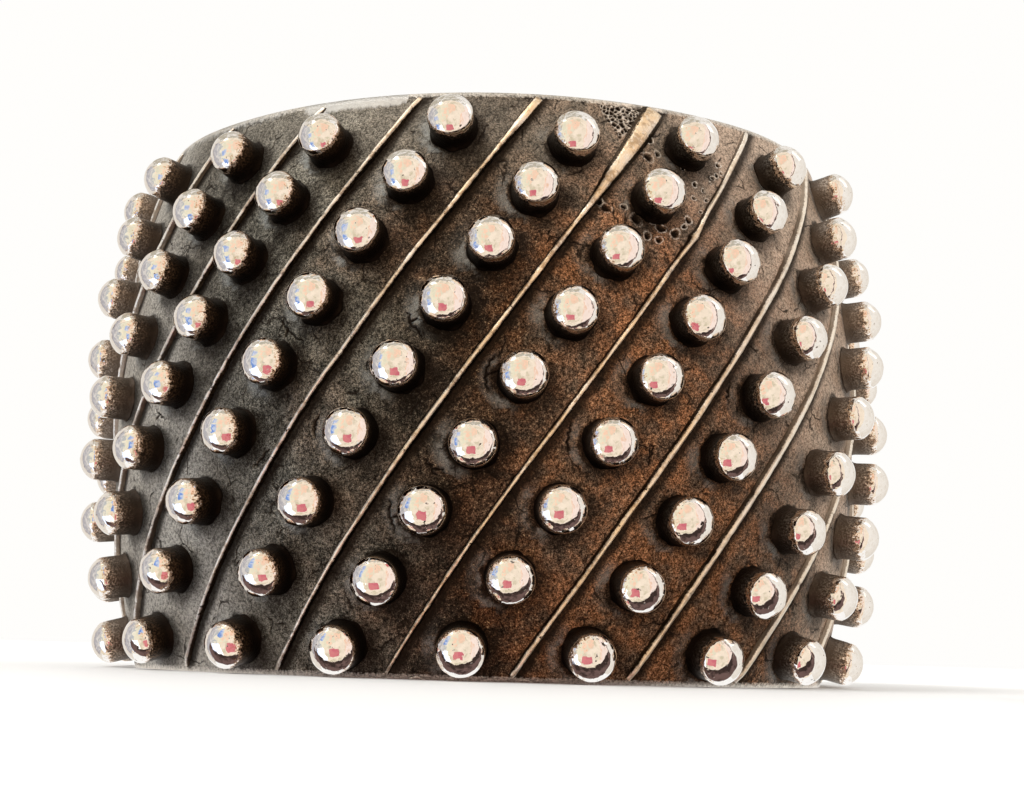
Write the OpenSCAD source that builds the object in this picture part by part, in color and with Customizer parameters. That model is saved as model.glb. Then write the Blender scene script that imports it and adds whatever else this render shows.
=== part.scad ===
// Open silver cuff: a domed oval band with slanting wires and rows of domed studs.

/* [Band] */
// Radius of the tighter arc at each side of the oval, at the band's edges
side_r = 21; // [19:0.5:23]
// How much the oval is drawn out: it is six times this wider than a circle of the side arcs
spread = 3; // [2:0.25:4]
// Height of the band
band_h = 45; // [44.5:0.5:50]
// How far the middle of the band swells past its edges
swell = 3.1; // [2:0.1:4]
// Thickness of the sheet
sheet_t = 1.3; // [1:0.1:2]
// Radius of the rounded corners beside the opening
corner_r = 8; // [6:0.5:10]

/* [Studs] */
// Diameter of a stud, which its cap is half a ball of
stud_d = 3.6; // [3:0.1:3.8]
// Height of a stud above the sheet
stud_h = 3.2; // [2.6:0.1:3.6]
// Studs in a full row
row_studs = 9; // [7:1:9]
// Spacing of the studs of a row, measured up the band
stud_pitch = 4.85; // [4.4:0.05:4.85]
// Height of the lowest stud of a row above the lower edge
first_stud = 2.4; // [2.4:0.1:3]

/* [Wires] */
// Spacing of the wires, along the outer edge
wire_pitch = 9; // [8.5:0.1:10]
// Sideways run of a wire for each unit of height
slant = 0.64; // [0.5:0.02:0.7]
// Place of the wire nearest to the middle of the front
first_wire = -7.3; // [-9:0.1:0]
// Width of a wire at its foot
wire_w = 0.8; // [0.6:0.1:1]
// Width of its worn top
wire_top_w = 0.5; // [0.3:0.1:0.6]
// Height of a wire above the sheet
wire_h = 0.45; // [0.35:0.05:0.7]

/* [Hidden] */
$fn = 96;

// Hand setting of the rows. Columns: row number, shift of the wire, shift of the studs,
// and lift of the studs at the top, middle and bottom of the band.
ROW = 0;
WIRE_SHIFT = 1;
STUD_SHIFT = 2;
LIFT_TOP = 3;
LIFT_MID = 4;
LIFT_LOW = 5;
SETTING = [
    [-8, 0.2, 0.1, 0.4, -0.3, 0.1],
    [-7, -0.3, 0.3, -0.5, 0.3, 0.2],
    [-6, 0.1, -0.2, 0.3, 0.5, 0.0],
    [-5, -0.2, 0.2, -0.6, -0.2, 0.2],
    [-4, 0.0, 0.6, -0.8, 0.2, 0.0],
    [-3, -0.4, 0.5, -1.0, 0.4, 0.0],
    [-2, 0.2, -0.4, -0.9, 0.4, 0.0],
    [-1, -0.5, -0.3, 0.1, 1.0, 0.1],
    [0, -0.3, 0.3, -1.1, 0.5, 0.0],
    [1, 0.2, 0.0, 0.4, -0.1, 0.0],
    [2, 0.0, -0.3, -0.2, 0.3, 0.0],
    [3, 0.1, -0.4, 1.0, 0.0, 0.0],
    [4, -0.4, 0.2, 0.2, -0.1, 0.0],
    [5, -0.1, -0.4, -0.3, 0.2, 0.0],
    [6, -0.4, 0.3, 0.4, -0.2, 0.1],
    [7, 0.2, -0.2, -0.4, 0.3, 0.2],
    [8, -0.1, 0.1, 0.3, 0.4, 0.0],
];

silver = [0.80, 0.78, 0.75];
proud = 0.1;
far = 40;
cut_reach = 12;

// The oval is four tangent arcs: a flatter one at the front and the back, a tighter one at each side.
// They meet on lines that slope as a triangle with sides of 3, 4 and 5, so every join is exact.
MEET = [3, 4];
// The ends of the band lie on a line that slopes as a triangle with sides of 8, 15 and 17.
END = [8, 15];
AHEAD = [0, -1];
side_x = MEET[0] * spread;
front_y = MEET[1] * spread;
front_r = side_r + norm(MEET) * spread;
half_d = front_r - front_y;
join_a = atan(MEET[0] / MEET[1]);
end_a = join_a - atan(END[0] / END[1]);
front_len = front_r * join_a * PI / 180;
side_len = side_r * (180 - 2 * join_a) * PI / 180;
end_s = front_len + side_len + front_r * end_a * PI / 180;

// The band's section is an arc, so each piece of the band is a slice of a ring.
mid_h = band_h / 2;
dome_r = (mid_h * mid_h + swell * swell) / (2 * swell);
dome_in = dome_r - swell;

stud_r = stud_d / 2;
stud_wall_h = stud_h - stud_r;
stud_rim = 0.6;
sunk = 0.6;
wire_rim = 0.4;
wire_rings = 12;
wire_step = 0.25;
wire_least = 4;

// Bearing of a place on the oval, in degrees from the front, for a length along the outer edge.
function bearing(s) =
    let (l = abs(s))
    let (past_front = l - front_len)
    let (past_side = past_front - side_len)
    let (turn = past_front <= 0 ? l / front_r
        : past_side <= 0 ? front_len / front_r + past_front / side_r
        : front_len / front_r + side_len / side_r + past_side / front_r)
    sign(s) * turn * 180 / PI;

// Centre and radius of the arc that holds a place on the oval.
function at_side(s) = abs(s) > front_len && abs(s) <= front_len + side_len;
function arc_centre(s) =
    abs(s) <= front_len ? [0, front_y]
    : at_side(s) ? [sign(s) * side_x, 0]
    : [0, -front_y];
function arc_r(s) = at_side(s) ? side_r : front_r;

// Swell of the outer face at a height from the band's middle, and how far it leans there.
function bulge(z) = sqrt(dome_r * dome_r - z * z) - dome_in;
function lean(z) = asin(z / dome_r);

// A point at a length around the band, a height from its middle and a lift off its outer face.
function on_band(s, z, lift) =
    let (a = bearing(s), c = arc_centre(s))
    let (r = arc_r(s) + bulge(z) + lift * cos(lean(z)))
    [c[0] + r * sin(a), c[1] - r * cos(a), mid_h + z + lift * sin(lean(z))];

// Is a place at least a rim's width inside the ends of the band and their round corners?
function inside(s, z, rim) =
    let (along = abs(s) - (end_s - corner_r))
    let (up = abs(z) - (mid_h - corner_r))
    along <= 0 ? true
    : up <= 0 ? along <= corner_r - rim
    : norm([along, up]) <= corner_r - rim;

// A curve through three values at the top, middle and bottom of the band.
function through(top, mid, low, z) =
    let (t = z / mid_h)
    mid + (top - low) / 2 * t + ((top + low) / 2 - mid) * t * t;

function wire_s(row, z) = first_wire + row[ROW] * wire_pitch + row[WIRE_SHIFT] + slant * z;
function stud_s(row, z) = first_wire + (row[ROW] + 0.5) * wire_pitch + row[STUD_SHIFT] + slant * z;
function stud_z(row, i) =
    let (z = first_stud + i * stud_pitch - mid_h)
    z + through(row[LIFT_TOP], row[LIFT_MID], row[LIFT_LOW], z);

STUDS = [
    for (row = SETTING)
        for (i = [0 : row_studs - 1])
            let (z = stud_z(row, i))
                if (inside(stud_s(row, z), z, stud_r + stud_rim))
                    [stud_s(row, z), z]
];

// The origin lies under the middle of the cuff's box.
front_reach = half_d + swell + stud_h;
back_reach = max([for (p = STUDS) on_band(p[0], p[1], stud_wall_h)[1] + stud_r]);
origin_y = (front_reach - back_reach) / 2;

module band_section() {
    intersection() {
        translate([-dome_in, 0])
            difference() {
                circle(dome_r, $fn = 360);
                circle(dome_r - sheet_t, $fn = 360);
            }
        translate([-2 * sheet_t, -mid_h])
            square([2 * sheet_t + swell + proud, band_h]);
    }
}

// The slice of a ring that lies between two directions from its centre.
module slice(centre, radius, from, to) {
    translate([centre[0], centre[1], 0])
        intersection() {
            translate([0, 0, mid_h])
                rotate([0, 0, 180])
                    rotate_extrude()
                        translate([radius, 0])
                            band_section();
            translate([0, 0, -proud])
                linear_extrude(height = band_h + 2 * proud)
                    polygon([[0, 0], far * from, far * (from + to), far * to]);
        }
}

// What the round corner at the upper end of the band takes away, seen from outside.
module corner_cut() {
    rotate([90, 0, 0])
        linear_extrude(height = cut_reach, center = true)
            difference() {
                square(corner_r + proud);
                circle(corner_r);
            }
}

// The right-hand half of the band, from the middle of the front to its rounded end.
module half_sheet() {
    difference() {
        union() {
            slice([0, front_y], front_r, norm(MEET) * AHEAD, [MEET[0], -MEET[1]]);
            slice([side_x, 0], side_r, [MEET[0], -MEET[1]], MEET);
            slice([0, -front_y], front_r, MEET, END);
        }
        translate([0, -front_y, mid_h])
            rotate([0, 0, 180 - join_a + end_a])
                translate([-corner_r, -front_r, 0])
                    for (flip = [0, 1])
                        mirror([0, 0, flip])
                            translate([0, 0, mid_h - corner_r])
                                corner_cut();
    }
}

module sheet() {
    half_sheet();
    mirror([1, 0, 0])
        half_sheet();
}

module stud() {
    rotate_extrude() {
        translate([0, -sunk])
            square([stud_r, sunk + stud_wall_h]);
        translate([0, stud_wall_h])
            intersection() {
                circle(stud_r);
                square(stud_r);
            }
    }
}

module studs() {
    for (p = STUDS)
        translate(on_band(p[0], p[1], 0))
            rotate([0, 90 - lean(p[1]), bearing(p[0]) - 90])
                stud();
}

// One wire, swept along its own heights with a foot sunk in the sheet.
module wire(row, heights) {
    across = [1, -slant] / norm([1, slant]);
    foot = wire_w / 2;
    crown = wire_top_w / 2;
    section = [[-foot, -sunk], [foot, -sunk], [crown, wire_h], [-crown, wire_h]];
    sides = len(section);
    last = (len(heights) - 1) * sides;
    points = [
        for (z = heights)
            for (p = section)
                on_band(wire_s(row, z) + p[0] * across[0], z + p[0] * across[1], p[1])
    ];
    walls = [
        for (i = [0 : len(heights) - 2])
            for (k = [0 : sides - 1])
                let (a = i * sides + k, b = i * sides + (k + 1) % sides)
                    each [[a, b + sides, a + sides], [a, b, b + sides]]
    ];
    caps = [[0, 2, 1], [0, 3, 2], [last, last + 1, last + 2], [last, last + 2, last + 3]];
    polyhedron(points, concat(walls, caps));
}

module wires() {
    for (row = SETTING) {
        top = mid_h - wire_rim;
        reach = [for (z = [-top : wire_step : top]) if (inside(wire_s(row, z), z, wire_rim)) z];
        if (len(reach) * wire_step > wire_least) {
            low = min(reach);
            rise = (max(reach) - low) / (wire_rings - 1);
            wire(row, [for (i = [0 : wire_rings - 1]) low + i * rise]);
        }
    }
}

module cuff() {
    color(silver)
        translate([0, origin_y, 0])
            union() {
                sheet();
                studs();
                wires();
            }
}

cuff();
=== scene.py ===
# %% [markdown]
# This lesson builds a studded silver cuff bracelet: an open oval band of thick sheet, domed from edge to
# edge. Thin wires slant across it from edge to edge, and bullet-shaped studs stand in rows between them.
# All of it is soldered to the sheet, then blackened and rubbed back, so the hollows are dark and
# whatever stands proud is bright. The solid model comes from the frame. It fixes the size and place of
# everything, and the visible pieces are modelled over it in the same millimetres.

# %% Load the frame
import random
from math import atan, cos, hypot, pi, radians, sin, sqrt

import bmesh
import bpy
import numpy as np
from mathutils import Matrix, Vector, noise


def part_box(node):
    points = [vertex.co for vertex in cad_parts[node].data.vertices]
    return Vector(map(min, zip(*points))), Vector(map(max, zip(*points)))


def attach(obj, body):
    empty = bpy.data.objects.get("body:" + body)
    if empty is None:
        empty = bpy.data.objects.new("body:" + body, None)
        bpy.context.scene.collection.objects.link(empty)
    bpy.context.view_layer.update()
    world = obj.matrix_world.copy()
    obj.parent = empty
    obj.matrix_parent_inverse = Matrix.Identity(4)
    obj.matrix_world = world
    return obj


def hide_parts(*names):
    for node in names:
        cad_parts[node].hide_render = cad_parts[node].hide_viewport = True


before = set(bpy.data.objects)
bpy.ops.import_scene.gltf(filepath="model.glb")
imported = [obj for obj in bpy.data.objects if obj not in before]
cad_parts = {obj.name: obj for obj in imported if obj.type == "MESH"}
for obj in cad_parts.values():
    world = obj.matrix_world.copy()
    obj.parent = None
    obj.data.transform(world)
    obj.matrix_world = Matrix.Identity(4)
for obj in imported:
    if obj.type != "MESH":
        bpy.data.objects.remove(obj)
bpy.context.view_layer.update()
low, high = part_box("cuff")
MM = 0.001
print("solid cuff, mm:", [round((b - a) / MM, 2) for a, b in zip(low, high)])

# %% [markdown]
# A cuff is easiest to describe by unrolling it. Any place on it is a length along the outer edge, a
# height from the middle of the band, and a lift off the outer face. The plan is an oval of four
# tangent arcs, and the section is one shallow arc, so a short function turns those three numbers into
# a point.

# %% The measures of the band
side_r = 21.0
spread = 3.0
band_h = round((high[2] - low[2]) / MM, 3)
swell = 3.1
sheet_t = 1.3
corner_r = 8.0

side_x = 3 * spread
front_y = 4 * spread
front_r = side_r + 5 * spread
join_a = atan(3 / 4)
end_a = join_a - atan(8 / 15)
front_len = front_r * join_a
side_len = side_r * (pi - 2 * join_a)
end_s = front_len + side_len + front_r * end_a
mid_h = band_h / 2
dome_r = (mid_h**2 + swell**2) / (2 * swell)
dome_in = dome_r - swell
print("length of the band from end to end, mm:", round(2 * end_s, 1))

# %% Places on the band
ARC_LENGTHS = [0, front_len, front_len + side_len, front_len + side_len + front_r]
ARC_BEARINGS = [0, join_a, pi - join_a, pi - join_a + 1]
origin_y = 0.0


def bulge(z):
    """How far the outer face swells past the edges at a height."""
    return np.sqrt(dome_r**2 - z**2) - dome_in


def on_ring(s, height, reach):
    """A point at a length along the oval, a height and a reach past the edge's own arc."""
    s, height, reach = np.broadcast_arrays(*(np.asarray(v, float) for v in (s, height, reach)))
    along = np.abs(s)
    side = np.sign(s)
    at_front = along <= front_len
    at_side = ~at_front & (along <= front_len + side_len)
    centre_x = np.where(at_side, side * side_x, 0)
    centre_y = np.where(at_side, 0, np.where(at_front, front_y, -front_y))
    radius = np.where(at_side, side_r, front_r) + reach
    turn = side * np.interp(along, ARC_LENGTHS, ARC_BEARINGS)
    across = centre_x + radius * np.sin(turn)
    ahead = origin_y + centre_y - radius * np.cos(turn)
    return np.stack([across, ahead, mid_h + height], axis=-1)


def on_band(s, z, lift=0.0):
    """A point on the outer face, or lifted off it along its own normal."""
    z = np.asarray(z, float)
    lean = z / dome_r
    return on_ring(s, z + lift * lean, bulge(z) + lift * np.sqrt(1 - lean**2))


# %% [markdown]
# The maker set the wires and studs by eye, so no two rows are quite alike. A short table keeps that
# hand setting, the same as in the solid: for each row, how far its wire and its studs drift sideways,
# and how far the studs ride up at the top, in the middle and at the bottom.

# %% The rows of wires and studs
ROW, WIRE_SHIFT, STUD_SHIFT, LIFTS = range(4)
SETTING = [
    [-8, 0.2, 0.1, 0.4, -0.3, 0.1],
    [-7, -0.3, 0.3, -0.5, 0.3, 0.2],
    [-6, 0.1, -0.2, 0.3, 0.5, 0.0],
    [-5, -0.2, 0.2, -0.6, -0.2, 0.2],
    [-4, 0.0, 0.6, -0.8, 0.2, 0.0],
    [-3, -0.4, 0.5, -1.0, 0.4, 0.0],
    [-2, 0.2, -0.4, -0.9, 0.4, 0.0],
    [-1, -0.5, -0.3, 0.1, 1.0, 0.1],
    [0, -0.3, 0.3, -1.1, 0.5, 0.0],
    [1, 0.2, 0.0, 0.4, -0.1, 0.0],
    [2, 0.0, -0.3, -0.2, 0.3, 0.0],
    [3, 0.1, -0.4, 1.0, 0.0, 0.0],
    [4, -0.4, 0.2, 0.2, -0.1, 0.0],
    [5, -0.1, -0.4, -0.3, 0.2, 0.0],
    [6, -0.4, 0.3, 0.4, -0.2, 0.1],
    [7, 0.2, -0.2, -0.4, 0.3, 0.2],
    [8, -0.1, 0.1, 0.3, 0.4, 0.0],
]
wire_pitch = 9.0
slant = 0.64
first_wire = -7.3
stud_r = 1.8
stud_h = 3.2
stud_wall_h = stud_h - stud_r
row_studs = 9
stud_pitch = 4.85
first_stud = 2.4
stud_rim = 0.6
wire_rim = 0.4
wire_least = 4.0
edge_room = 0.05


def inside(s, z, rim):
    """Is a place at least a rim's width inside the ends and their round corners?"""
    along = abs(s) - (end_s - corner_r)
    up = max(0, abs(z) - (mid_h - corner_r))
    return along <= 0 or hypot(along, up) <= corner_r - rim


def wire_s(row, z):
    """Where a row's wire crosses a height, as a length along the band."""
    return first_wire + row[ROW] * wire_pitch + row[WIRE_SHIFT] + slant * z


def row_places(row):
    """The length and height of each stud of a row."""
    top, middle, bottom = row[LIFTS:]
    places = []
    for i in range(row_studs):
        z = first_stud + i * stud_pitch - mid_h
        t = z / mid_h
        tilt = (top - bottom) / 2 * t
        bow = ((top + bottom) / 2 - middle) * t * t
        z += middle + tilt + bow
        s = first_wire + (row[ROW] + 0.5) * wire_pitch + row[STUD_SHIFT] + slant * z
        if inside(s, z, stud_r + stud_rim):
            places.append((s, z))
    return places


ROWS = [(row, row_places(row)) for row in SETTING]
STUDS = np.array([place for row, places in ROWS for place in places])
print("studs:", len(STUDS))

# %% [markdown]
# The frame's origin lies under the middle of the cuff's box, not at the centre of the oval. The oval
# is shifted by half the difference between how far the studs reach in front and behind.

# %% Put the origin where the frame has it
front_reach = front_r - front_y + swell + stud_h
back_reach = on_band(STUDS[:, 0], STUDS[:, 1], stud_wall_h)[:, 1].max() + stud_r
origin_y = (front_reach - back_reach) / 2
print("shift of the oval, mm:", round(origin_y, 3))

# %% [markdown]
# Each piece is a mesh made from lists of points and faces. One helper takes millimetres, writes the
# mesh in metres, and stores any number of values on its points for the materials to read.

# %% Helpers for meshes
rng = random.Random(7)


def add(name, data):
    """A new object in the scene."""
    made = bpy.data.objects.new(name, data)
    bpy.context.scene.collection.objects.link(made)
    return made


def make_piece(name, points, faces, values, materials):
    """A smooth-shaded object from points in millimetres, with values stored on its points."""
    mesh = bpy.data.meshes.new(name)
    mesh.from_pydata((np.asarray(points) * MM).tolist(), [], faces)
    for key, numbers in values.items():
        numbers = np.asarray(numbers, np.float32)
        kind, field = ("FLOAT_VECTOR", "vector") if numbers.ndim == 2 else ("FLOAT", "value")
        mesh.attributes.new(key, kind, "POINT").data.foreach_set(field, numbers.ravel())
    for material in materials:
        mesh.materials.append(material)
    mesh.shade_smooth()
    return add(name, mesh)


def tube_faces(rings, sides, first=0):
    """Quads between neighbouring closed rings of points."""
    faces = []
    for i in range(rings - 1):
        a = first + i * sides
        b = a + sides
        for k in range(sides):
            n = (k + 1) % sides
            faces.append((a + k, a + n, b + n, b + k))
    return faces


def fractal(places, size, octaves=3, seed=0.0):
    """Soft noise of about -1 to 1 with lumps of a size, at each place."""
    shift = Vector((seed, seed * 1.7, seed * 0.6))
    return np.array([noise.fractal(Vector(p) / size + shift, 1.0, 2.0, octaves) for p in places])


# %% [markdown]
# The sheet isn't smooth. It was planished by hand, so it undulates slightly. Near the upper edge it
# was overheated once, and broke up into pits and a small patch of netted cells. Beside some studs the
# old solder has cracked away in little arcs. All of these are real dents, so they go into the mesh. The
# hammered waves are noise. The pits and cracks are listed one by one, and each one lowers the surface
# near it. No pit is quite round.

# %% Where the pits and cracks are
PATCH_MIDDLE = np.array([16.1, 15.3])
# Pits, placed from their patch's middle. Columns: right, up, radius.
PIT_MARKS = [
    [5.0, 2.9, 0.21], [5.2, 2.2, 0.16], [4.7, 1.9, 0.17], [4.3, 1.6, 0.17],
    [4.0, 1.1, 0.11], [2.6, 0.7, 0.19], [3.3, 0.3, 0.14], [3.5, -0.5, 0.15],
    [2.4, -0.5, 0.16], [2.9, -1.6, 0.12], [1.8, -2.5, 0.26], [1.4, -3.1, 0.19],
    [0.6, -3.8, 0.34], [-0.5, -3.5, 0.34], [-1.2, -2.9, 0.32], [-2.4, -3.0, 0.42],
    [-3.3, -2.1, 0.22], [-4.7, -2.4, 0.36], [-5.2, -1.9, 0.28], [-1.9, 3.1, 0.34],
    [-1.1, 2.5, 0.36], [-0.3, 2.9, 0.22], [-0.8, 4.0, 0.22], [5.3, 5.5, 0.12],
    [-1.6, -4.3, 0.28], [-0.7, -4.5, 0.26], [1.7, 1.9, 0.12], [3.6, 3.2, 0.11],
]
PITS = np.array([[*(PATCH_MIDDLE + (right, up)), radius] for right, up, radius in PIT_MARKS])

# Cracks beside studs. Columns: row, stud counted from the bottom, from and to angle, distance.
CRACKS = [
    [1, 4, 140, 205, 2.55], [2, 3, 150, 200, 2.75], [2, 3, 335, 360, 3.3],
    [1, 2, 165, 215, 2.6], [-1, 5, 205, 250, 3.1], [0, 3, 150, 185, 3.0],
    [0, 5, 190, 235, 2.7], [-1, 3, 300, 335, 3.0], [-2, 4, 210, 240, 3.1],
    [1, 3, 200, 225, 3.4], [3, 4, 160, 195, 2.7], [-2, 2, 320, 350, 2.9],
]
CRACK_STEPS = 12
crack_wander = 0.14
CRACK_LINES = []
for row_index, stud_index, from_a, to_a, distance in CRACKS:
    centre = np.array(ROWS[row_index + 8][1][stud_index])
    angles = np.radians(np.linspace(from_a, to_a, CRACK_STEPS))
    wander = np.array([rng.uniform(-crack_wander, crack_wander) for _ in angles])
    reach = distance + wander
    line = centre + reach[:, None] * np.stack([np.cos(angles), np.sin(angles)], axis=1)
    CRACK_LINES.append(line)
    fork = line[rng.randrange(3, CRACK_STEPS - 3)]
    away = rng.uniform(0, 2 * pi)
    steps = np.linspace(0, rng.uniform(0.5, 1.1), 4)[:, None]
    CRACK_LINES.append(fork + steps * np.array([cos(away), sin(away)]))
print("pits:", len(PITS), "cracks and their forks:", len(CRACK_LINES))

# %% The relief of the outer face
# The netted patch is a triangle on its point. Its corners, clockwise: length, height.
NET_CORNERS = np.array([[11.1, 22.1], [16.0, 22.3], [12.8, 19.1]])
net_cell = 0.36
wave_size = 7.0
wave_depth = 0.07
ripple_size = 1.7
ripple_depth = 0.02


def waves(s, z):
    """The hammered undulation of the outer face."""
    places = on_band(s, z)
    return wave_depth * fractal(places, wave_size) + ripple_depth * fractal(places, ripple_size, 2, 9.0)


def smooth(start, end, value):
    """0 before the start, 1 past the end, and an S-curve between."""
    t = np.clip((value - start) / (end - start), 0, 1)
    return t * t * (3 - 2 * t)


def pit_field(s, z):
    """How deep in a pit a place is, 0 to 1, and how near to a pit's lip."""
    depth = np.zeros(len(s))
    lip = np.zeros(len(s))
    for pit_s, pit_z, radius in PITS:
        right, up = s - pit_s, z - pit_z
        turn = np.arctan2(up, right)
        uneven = 1 + 0.14 * np.sin(2 * turn + 9 * pit_s) + 0.09 * np.sin(3 * turn + 7 * pit_z)
        d = np.hypot(right, up) / (radius * uneven)
        depth = np.maximum(depth, 1 - smooth(0.5, 1, d))
        lip = np.maximum(lip, np.exp(-(((d - 1.2) / 0.2) ** 2)) * min(1, 0.04 / radius**2))
    return depth, lip * (1 - depth)


def crack_field(s, z):
    """How deep in a crack a place is, 0 to 1."""
    depth = np.zeros(len(s))
    for line in CRACK_LINES:
        for i in range(len(line) - 1):
            a, b = line[i], line[i + 1]
            ab = b - a
            t = np.clip(((s - a[0]) * ab[0] + (z - a[1]) * ab[1]) / (ab @ ab), 0, 1)
            d = np.hypot(s - a[0] - t * ab[0], z - a[1] - t * ab[1])
            width = 0.06 + 0.07 * sin(pi * (i + 0.5) / (len(line) - 1))
            depth = np.maximum(depth, 1 - smooth(0.3 * width, width, d))
    return depth


def net_distance(s, z):
    """How far outside the netted triangle a place is, below 0 inside it."""
    distance = np.full(len(s), -9.0)
    for i in range(3):
        a, b = NET_CORNERS[i], NET_CORNERS[(i + 1) % 3]
        side = (b - a) / np.linalg.norm(b - a)
        distance = np.maximum(distance, side[1] * (a[0] - s) - side[0] * (a[1] - z))
    return distance


def net_field(s, z):
    """How much a place is in a cell of the netted patch, and how much on a wall between cells."""
    within = 1 - smooth(-0.15, 0.15, net_distance(s, z))
    wall = np.zeros(len(s))
    for k in np.flatnonzero(within > 0):
        near, _ = noise.voronoi((s[k] / net_cell, z[k] / net_cell, 3.3))
        wall[k] = 1 - smooth(0.08, 0.24, near[1] - near[0])
    return within * (1 - wall), within * wall


# %% [markdown]
# The sheet starts as a flat pattern, as it does on the bench: a long rectangle with round corners,
# cut into half-millimetre cells. Where pits, cracks or the netted patch lie, the cells are split three
# times more, so the fine detail costs points only there. A second, plain layer is the inner face, and
# three loops between them round off the rim. Rolling it up is then one call for each point.

# %% The flat pattern
cell = 0.55
first_row = 0.45
rim_round = 0.22
RIM_LAYERS = [-0.17, -0.5, -0.83]
straight = end_s - corner_r
corner_turns = np.radians(np.linspace(0, 90, 15))[1:]


def edge_height(s):
    """Half the height of the pattern at a length, less where the corners round it off."""
    past = max(0.0, abs(s) - straight)
    return mid_h - corner_r + sqrt(max(0.0, corner_r**2 - past**2))


half_columns = list(np.linspace(0, straight, round(straight / cell) + 1))[1:]
half_columns += [straight + corner_r * sin(a) for a in corner_turns]
columns = [-s for s in reversed(half_columns)] + [0.0] + half_columns
inner_rows = 1 - first_row / mid_h
fractions = [-1.0, *np.linspace(-inner_rows, inner_rows, round(band_h / cell)), 1.0]
last_i = len(columns) - 1
last_j = len(fractions) - 1
print("pattern:", len(columns), "columns,", len(fractions), "rows")

# %% Lay out both faces and the rim between them
bm = bmesh.new()


def lay_grid(layer):
    """One flat layer of points and its quads."""
    grid = [[bm.verts.new((s, f * edge_height(s), layer)) for f in fractions] for s in columns]
    for i in range(last_i):
        for j in range(last_j):
            bm.faces.new((grid[i][j], grid[i + 1][j], grid[i + 1][j + 1], grid[i][j + 1]))
    return grid


BORDER = [(i, 0) for i in range(last_i)] + [(last_i, j) for j in range(last_j)]
BORDER += [(i, last_j) for i in range(last_i, 0, -1)] + [(0, j) for j in range(last_j, 0, -1)]
outer = lay_grid(0.0)
inner = lay_grid(-1.0)
border_loops = [[outer[i][j] for i, j in BORDER]]
for layer in RIM_LAYERS:
    border_loops.append([bm.verts.new((*outer[i][j].co.xy, layer)) for i, j in BORDER])
border_loops.append([inner[i][j] for i, j in BORDER])
for upper, lower in zip(border_loops, border_loops[1:]):
    for k in range(len(BORDER)):
        n = (k + 1) % len(BORDER)
        bm.faces.new((upper[k], upper[n], lower[n], lower[k]))
border_points = {*border_loops[0], *border_loops[-1]}
print("faces before the fine areas are split:", len(bm.faces))

# %% Split the cells that hold fine detail
FINE_MARGINS = [0.5, 0.3, 0.1]


def wants_detail(s, z, margin):
    """Do pits, cracks or the netted patch reach within a margin of these places?"""
    wanted = net_distance(s, z) < margin
    for pit_s, pit_z, radius in PITS:
        wanted |= np.hypot(s - pit_s, z - pit_z) < 1.4 * radius + margin
    for line in CRACK_LINES:
        for a in line:
            wanted |= np.hypot(s - a[0], z - a[1]) < 0.25 + margin
    return wanted


for margin in FINE_MARGINS:
    faces = [f for f in bm.faces if all(v.co.z > -0.01 and v not in border_points for v in f.verts)]
    middles = np.array([f.calc_center_median()[:2] for f in faces])
    wanted = wants_detail(middles[:, 0], middles[:, 1], margin)
    chosen = [f for f, yes in zip(faces, wanted) if yes]
    edges = list({e for f in chosen for e in f.edges})
    bmesh.ops.subdivide_edges(bm, edges=edges, cuts=1, use_grid_fill=True)
print("faces with the fine areas split:", len(bm.faces))

# %% Roll the pattern up and press the relief into it
pit_depth = 0.22
lip_height = 0.03
crack_depth = 0.13
cell_depth = 0.10
net_wall = 0.03


def pull_in(s, z):
    """Moves points of the border inwards, so the rim's edges are round."""
    past = np.abs(s) - straight
    up = np.abs(z) - (mid_h - corner_r)
    around = np.arctan2(np.maximum(up, 0), np.maximum(past, 0))
    along = np.where(past > 0, np.cos(around), 0.0)
    rise = np.where(past > 0, np.sin(around), 1.0)
    return s - np.sign(s) * rim_round * along, z - np.sign(z) * rim_round * rise


bm.verts.index_update()
flat = np.array([v.co for v in bm.verts])
s, z, layer = flat.T
at_border = np.array([v in border_points for v in bm.verts])
s_in, z_in = pull_in(s, z)
s = np.where(at_border, s_in, s)
z = np.where(at_border, z_in, z)

outside = layer > -0.01
is_outer = outside & ~at_border
pit, lip = pit_field(s, z)
crack = crack_field(s, z)
net, wall = net_field(s, z)
calm = smooth(0.3, 1.6, mid_h - np.abs(z))
relief = calm * waves(s, z) + lip_height * lip + net_wall * wall - pit_depth * pit
relief -= crack_depth * crack + cell_depth * net
relief *= is_outer

outer_reach = bulge(z)
inner_reach = np.sqrt((dome_r - sheet_t) ** 2 - z**2) - dome_in
reach = outer_reach + (outer_reach - inner_reach) * layer
points = np.where(is_outer[:, None], on_band(s, z, relief), on_ring(s, z, reach))
print("deepest dent, mm:", round(-relief.min(), 3), "highest bump, mm:", round(relief.max(), 3))

# %% [markdown]
# Blackened silver isn't one colour. Liver of sulphur leaves it from cool grey-black to warm brown, and
# rubbing back brings grey metal up on the high places. The material starts from a slow mix of two dark
# tones, adds mottling, grain and flecks, and lightens the worn parts. Painted sheen lightens the sides
# of the front and both flanks. It is metal throughout, so the base colour is how much light it throws
# back, and a fairly high roughness blurs what it mirrors. A finish takes many small steps, so each kind
# of step gets a short helper.

# %% Helpers for materials
tree = None


def join(value, socket):
    """Links a value to a socket, or sets the socket to it."""
    if isinstance(value, bpy.types.NodeSocket):
        tree.links.new(value, socket)
    else:
        socket.default_value = value


def feed(name, value):
    """Gives a value to the shader of the newest material."""
    join(value, tree.nodes["Principled BSDF"].inputs[name])


def new_material(name):
    """A metal material. Every helper adds its nodes to the newest one."""
    global tree
    material = bpy.data.materials.new(name)
    material.use_nodes = True
    tree = material.node_tree
    feed("Metallic", 1.0)
    return material


def put(kind, links=None, **settings):
    """A node with its settings, and with sockets linked or set to a value."""
    node = tree.nodes.new(kind)
    for key, value in settings.items():
        setattr(node, key, value)
    for key, value in (links or {}).items():
        join(value, node.inputs[key])
    return node


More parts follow.
